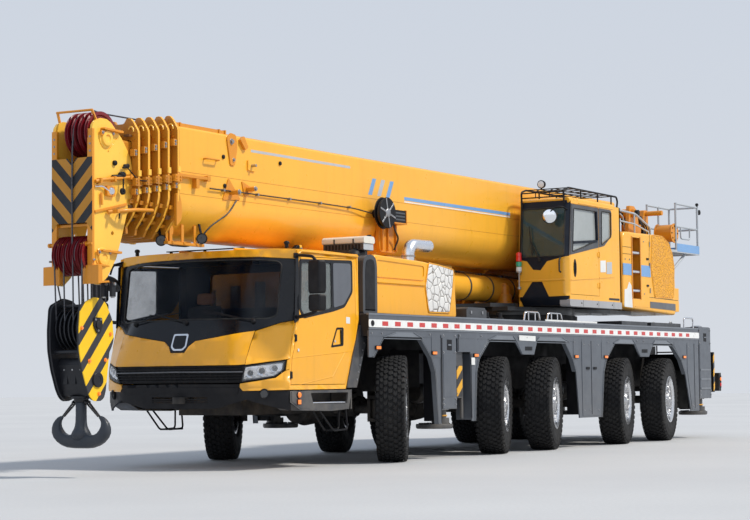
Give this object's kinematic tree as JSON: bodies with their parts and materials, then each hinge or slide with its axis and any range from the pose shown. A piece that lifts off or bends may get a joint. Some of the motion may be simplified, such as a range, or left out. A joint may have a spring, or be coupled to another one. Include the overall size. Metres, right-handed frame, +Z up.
{
  "type": "mobile crane",
  "caption": "Five-axle all-terrain mobile crane in travel position, with a driving cab, slewing upper works, telescopic boom, hook block and outriggers.",
  "frame": {"origin": "on the ground, on the centre line, under the middle of the overall length", "axes": "+X forward in the direction of travel, +Y to the vehicle's left, +Z up"},
  "size_m": [15.83, 3.517, 4.165],
  "materials": {
    "crane_yellow": "gloss",
    "frame_grey": "satin",
    "skirt_grey": "satin",
    "black_plastic": "matte",
    "tinted_glass": "gloss",
    "trim_dark": "matte",
    "axle_black": "satin",
    "cast_block": "matte",
    "tyre_rubber": "matte",
    "jack_steel": "satin",
    "sheave_red": "satin",
    "hook_steel": "satin",
    "chrome_rod": "polished",
    "winch_steel": "satin",
    "rail_grey": "satin"
  },
  "bodies": {
    "carrier": {"carrier_frame": "frame_grey", "engine_block": "cast_block", "side_skirts": "skirt_grey", "cab_shell": "crane_yellow", "cab_glass": "tinted_glass", "cab_interior": "trim_dark", "front_bumper": "black_plastic", "engine_housing": "crane_yellow", "axle_beams": "axle_black"},
    "left_cab_door": {"left_cab_door": "crane_yellow"},
    "right_cab_door": {"right_cab_door": "crane_yellow"},
    "upperworks": {"turntable_frame": "crane_yellow", "superstructure_housing": "crane_yellow", "crane_cab_shell": "crane_yellow", "crane_cab_glass": "tinted_glass", "crane_cab_interior": "trim_dark", "winch_drums": "winch_steel", "counterweight_base": "crane_yellow", "access_platform": "rail_grey"},
    "crane_cab_door": {"crane_cab_door": "crane_yellow"},
    "boom": {"boom_base": "crane_yellow"},
    "boom_section_5": {"boom_section_5": "crane_yellow", "head_sheaves": "sheave_red"},
    "lift_barrel": {"lift_cylinder_barrel": "crane_yellow"},
    "lift_rod": {"lift_cylinder_rod": "chrome_rod"},
    "hook_block": {"hook_block": "hook_steel"},
    "boom_section_1": {"boom_section_1": "crane_yellow"},
    "boom_section_2": {"boom_section_2": "crane_yellow"},
    "boom_section_3": {"boom_section_3": "crane_yellow"},
    "boom_section_4": {"boom_section_4": "crane_yellow"},
    "knuckle_1_left": {"knuckle_1_left": "axle_black"},
    "wheel_1_left": {"wheel_1_left": "tyre_rubber"},
    "knuckle_1_right": {"knuckle_1_right": "axle_black"},
    "wheel_1_right": {"wheel_1_right": "tyre_rubber"},
    "knuckle_2_left": {"knuckle_2_left": "axle_black"},
    "wheel_2_left": {"wheel_2_left": "tyre_rubber"},
    "knuckle_2_right": {"knuckle_2_right": "axle_black"},
    "wheel_2_right": {"wheel_2_right": "tyre_rubber"},
    "knuckle_3_left": {"knuckle_3_left": "axle_black"},
    "wheel_3_left": {"wheel_3_left": "tyre_rubber"},
    "knuckle_3_right": {"knuckle_3_right": "axle_black"},
    "wheel_3_right": {"wheel_3_right": "tyre_rubber"},
    "knuckle_4_left": {"knuckle_4_left": "axle_black"},
    "wheel_4_left": {"wheel_4_left": "tyre_rubber"},
    "knuckle_4_right": {"knuckle_4_right": "axle_black"},
    "wheel_4_right": {"wheel_4_right": "tyre_rubber"},
    "knuckle_5_left": {"knuckle_5_left": "axle_black"},
    "wheel_5_left": {"wheel_5_left": "tyre_rubber"},
    "knuckle_5_right": {"knuckle_5_right": "axle_black"},
    "wheel_5_right": {"wheel_5_right": "tyre_rubber"},
    "beam_front_left": {"outrigger_beam_front_left": "skirt_grey"},
    "jack_front_left": {"outrigger_jack_front_left": "jack_steel"},
    "beam_front_right": {"outrigger_beam_front_right": "skirt_grey"},
    "jack_front_right": {"outrigger_jack_front_right": "jack_steel"},
    "beam_rear_left": {"outrigger_beam_rear_left": "skirt_grey"},
    "jack_rear_left": {"outrigger_jack_rear_left": "jack_steel"},
    "beam_rear_right": {"outrigger_beam_rear_right": "skirt_grey"},
    "jack_rear_right": {"outrigger_jack_rear_right": "jack_steel"}
  },
  "joints": [
    {"name": "slew", "type": "hinge", "parent": "carrier", "child": "upperworks", "pos_m": [-2.585, 0, 2], "axis": [0, 0, 1], "continuous": true},
    {"name": "boom_lift", "type": "hinge", "parent": "upperworks", "child": "boom", "pos_m": [-5.235, 0, 3.2], "axis": [0, -1, 0], "range_deg": [0, 80]},
    {"name": "lift_barrel_swing", "type": "hinge", "parent": "upperworks", "child": "lift_barrel", "pos_m": [-3.885, 0, 2.42], "axis": [0, -1, 0], "range_deg": [0, 86.03]},
    {"name": "lift_rod_stroke", "type": "slide", "parent": "lift_barrel", "child": "lift_rod", "axis": [0.9999, 0, 0.0121], "range_m": [0, 1.934]},
    {"name": "telescope_1", "type": "slide", "parent": "boom", "child": "boom_section_1", "axis": [1, 0, 0], "range_m": [0, 9.3]},
    {"name": "telescope_2", "type": "slide", "parent": "boom_section_1", "child": "boom_section_2", "axis": [1, 0, 0], "range_m": [0, 9.3]},
    {"name": "telescope_3", "type": "slide", "parent": "boom_section_2", "child": "boom_section_3", "axis": [1, 0, 0], "range_m": [0, 9.3]},
    {"name": "telescope_4", "type": "slide", "parent": "boom_section_3", "child": "boom_section_4", "axis": [1, 0, 0], "range_m": [0, 9.3]},
    {"name": "telescope_5", "type": "slide", "parent": "boom_section_4", "child": "boom_section_5", "axis": [1, 0, 0], "range_m": [0, 9.3]},
    {"name": "hook_swing", "type": "hinge", "parent": "boom_section_5", "child": "hook_block", "pos_m": [7.615, 0, 2.48], "axis": [0, -1, 0], "range_deg": [-80, 0]},
    {"name": "left_cab_door_hinge", "type": "hinge", "parent": "carrier", "child": "left_cab_door", "pos_m": [5.233, 1.389, 1.7], "axis": [0, 0, -1], "range_deg": [0, 75]},
    {"name": "right_cab_door_hinge", "type": "hinge", "parent": "carrier", "child": "right_cab_door", "pos_m": [5.233, -1.389, 1.7], "axis": [0, 0, 1], "range_deg": [0, 75]},
    {"name": "crane_cab_door_hinge", "type": "hinge", "parent": "upperworks", "child": "crane_cab_door", "pos_m": [-2.833, 1.504, 3], "axis": [0, 0, 1], "range_deg": [0, 80]},
    {"name": "steer_1_left", "type": "hinge", "parent": "carrier", "child": "knuckle_1_left", "pos_m": [3.112, 1.107, 0.685], "axis": [0, 0, 1], "range_deg": [-60, 6]},
    {"name": "spin_1_left", "type": "hinge", "parent": "knuckle_1_left", "child": "wheel_1_left", "pos_m": [3.01504, 1.28192, 0.685], "axis": [-0.4848, 0.8746, 0], "continuous": true},
    {"name": "steer_1_right", "type": "hinge", "parent": "carrier", "child": "knuckle_1_right", "pos_m": [3.112, -1.107, 0.685], "axis": [0, 0, 1], "range_deg": [-60, 6]},
    {"name": "spin_1_right", "type": "hinge", "parent": "knuckle_1_right", "child": "wheel_1_right", "pos_m": [3.20896, -1.28192, 0.685], "axis": [-0.4848, 0.8746, 0], "continuous": true},
    {"name": "steer_2_left", "type": "hinge", "parent": "carrier", "child": "knuckle_2_left", "pos_m": [0.355, 1.107, 0.685], "axis": [0, 0, 1], "range_deg": [-44.58, 4.55]},
    {"name": "spin_2_left", "type": "hinge", "parent": "knuckle_2_left", "child": "wheel_2_left", "pos_m": [0.2817, 1.29308, 0.685], "axis": [-0.3665, 0.9304, 0], "continuous": true},
    {"name": "steer_2_right", "type": "hinge", "parent": "carrier", "child": "knuckle_2_right", "pos_m": [0.355, -1.107, 0.685], "axis": [0, 0, 1], "range_deg": [-44.58, 4.55]},
    {"name": "spin_2_right", "type": "hinge", "parent": "knuckle_2_right", "child": "wheel_2_right", "pos_m": [0.4283, -1.29308, 0.685], "axis": [-0.3665, 0.9304, 0], "continuous": true},
    {"name": "steer_3_left", "type": "hinge", "parent": "carrier", "child": "knuckle_3_left", "pos_m": [-1.205, 1.107, 0.685], "axis": [0, 0, 1], "range_deg": [-37.34, 3.82]},
    {"name": "spin_3_left", "type": "hinge", "parent": "knuckle_3_left", "child": "wheel_3_left", "pos_m": [-1.2668, 1.29721, 0.685], "axis": [-0.309, 0.9511, 0], "continuous": true},
    {"name": "steer_3_right", "type": "hinge", "parent": "carrier", "child": "knuckle_3_right", "pos_m": [-1.205, -1.107, 0.685], "axis": [0, 0, 1], "range_deg": [-37.34, 3.82]},
    {"name": "spin_3_right", "type": "hinge", "parent": "knuckle_3_right", "child": "wheel_3_right", "pos_m": [-1.1432, -1.29721, 0.685], "axis": [-0.309, 0.9511, 0], "continuous": true},
    {"name": "steer_4_left", "type": "hinge", "parent": "carrier", "child": "knuckle_4_left", "pos_m": [-3.755, 1.107, 0.685], "axis": [0, 0, 1], "range_deg": [-31.13, 3.2]},
    {"name": "spin_4_left", "type": "hinge", "parent": "knuckle_4_left", "child": "wheel_4_left", "pos_m": [-3.80676, 1.30018, 0.685], "axis": [-0.2588, 0.9659, 0], "continuous": true},
    {"name": "steer_4_right", "type": "hinge", "parent": "carrier", "child": "knuckle_4_right", "pos_m": [-3.755, -1.107, 0.685], "axis": [0, 0, 1], "range_deg": [-31.13, 3.2]},
    {"name": "spin_4_right", "type": "hinge", "parent": "knuckle_4_right", "child": "wheel_4_right", "pos_m": [-3.70324, -1.30018, 0.685], "axis": [-0.2588, 0.9659, 0], "continuous": true},
    {"name": "steer_5_left", "type": "hinge", "parent": "carrier", "child": "knuckle_5_left", "pos_m": [-5.445, 1.107, 0.685], "axis": [0, 0, 1], "range_deg": [-24.93, 2.58]},
    {"name": "spin_5_left", "type": "hinge", "parent": "knuckle_5_left", "child": "wheel_5_left", "pos_m": [-5.48658, 1.30263, 0.685], "axis": [-0.2079, 0.9781, 0], "continuous": true},
    {"name": "steer_5_right", "type": "hinge", "parent": "carrier", "child": "knuckle_5_right", "pos_m": [-5.445, -1.107, 0.685], "axis": [0, 0, 1], "range_deg": [-24.93, 2.58]},
    {"name": "spin_5_right", "type": "hinge", "parent": "knuckle_5_right", "child": "wheel_5_right", "pos_m": [-5.40342, -1.30263, 0.685], "axis": [-0.2079, 0.9781, 0], "continuous": true},
    {"name": "outrigger_front_left", "type": "slide", "parent": "carrier", "child": "beam_front_left", "axis": [0, 1, 0], "range_m": [0, 1.75]},
    {"name": "jack_front_left", "type": "slide", "parent": "beam_front_left", "child": "jack_front_left", "axis": [0, 0, -1], "range_m": [0, 0.6]},
    {"name": "outrigger_front_right", "type": "slide", "parent": "carrier", "child": "beam_front_right", "axis": [0, -1, 0], "range_m": [0, 1.75]},
    {"name": "jack_front_right", "type": "slide", "parent": "beam_front_right", "child": "jack_front_right", "axis": [0, 0, -1], "range_m": [0, 0.6]},
    {"name": "outrigger_rear_left", "type": "slide", "parent": "carrier", "child": "beam_rear_left", "axis": [0, 1, 0], "range_m": [0, 1.75]},
    {"name": "jack_rear_left", "type": "slide", "parent": "beam_rear_left", "child": "jack_rear_left", "axis": [0, 0, -1], "range_m": [0, 0.6]},
    {"name": "outrigger_rear_right", "type": "slide", "parent": "carrier", "child": "beam_rear_right", "axis": [0, -1, 0], "range_m": [0, 1.75]},
    {"name": "jack_rear_right", "type": "slide", "parent": "beam_rear_right", "child": "jack_rear_right", "axis": [0, 0, -1], "range_m": [0, 0.6]}
  ],
  "couplings": [
    {"joint": "lift_barrel_swing", "follows": "boom_lift", "ratio": 1.0691},
    {"joint": "lift_rod_stroke", "follows": "boom_lift", "m_per_rad": 1.3779},
    {"joint": "telescope_2", "follows": "telescope_1", "ratio": 1},
    {"joint": "telescope_3", "follows": "telescope_1", "ratio": 1},
    {"joint": "telescope_4", "follows": "telescope_1", "ratio": 1},
    {"joint": "telescope_5", "follows": "telescope_1", "ratio": 1},
    {"joint": "hook_swing", "follows": "boom_lift", "ratio": -1},
    {"joint": "steer_1_right", "follows": "steer_1_left", "ratio": 1},
    {"joint": "steer_2_left", "follows": "steer_1_left", "ratio": 0.74138},
    {"joint": "steer_2_right", "follows": "steer_1_left", "ratio": 0.74138},
    {"joint": "steer_3_left", "follows": "steer_1_left", "ratio": 0.62069},
    {"joint": "steer_3_right", "follows": "steer_1_left", "ratio": 0.62069},
    {"joint": "steer_4_left", "follows": "steer_1_left", "ratio": 0.51724},
    {"joint": "steer_4_right", "follows": "steer_1_left", "ratio": 0.51724},
    {"joint": "steer_5_left", "follows": "steer_1_left", "ratio": 0.41379},
    {"joint": "steer_5_right", "follows": "steer_1_left", "ratio": 0.41379}
  ]
}
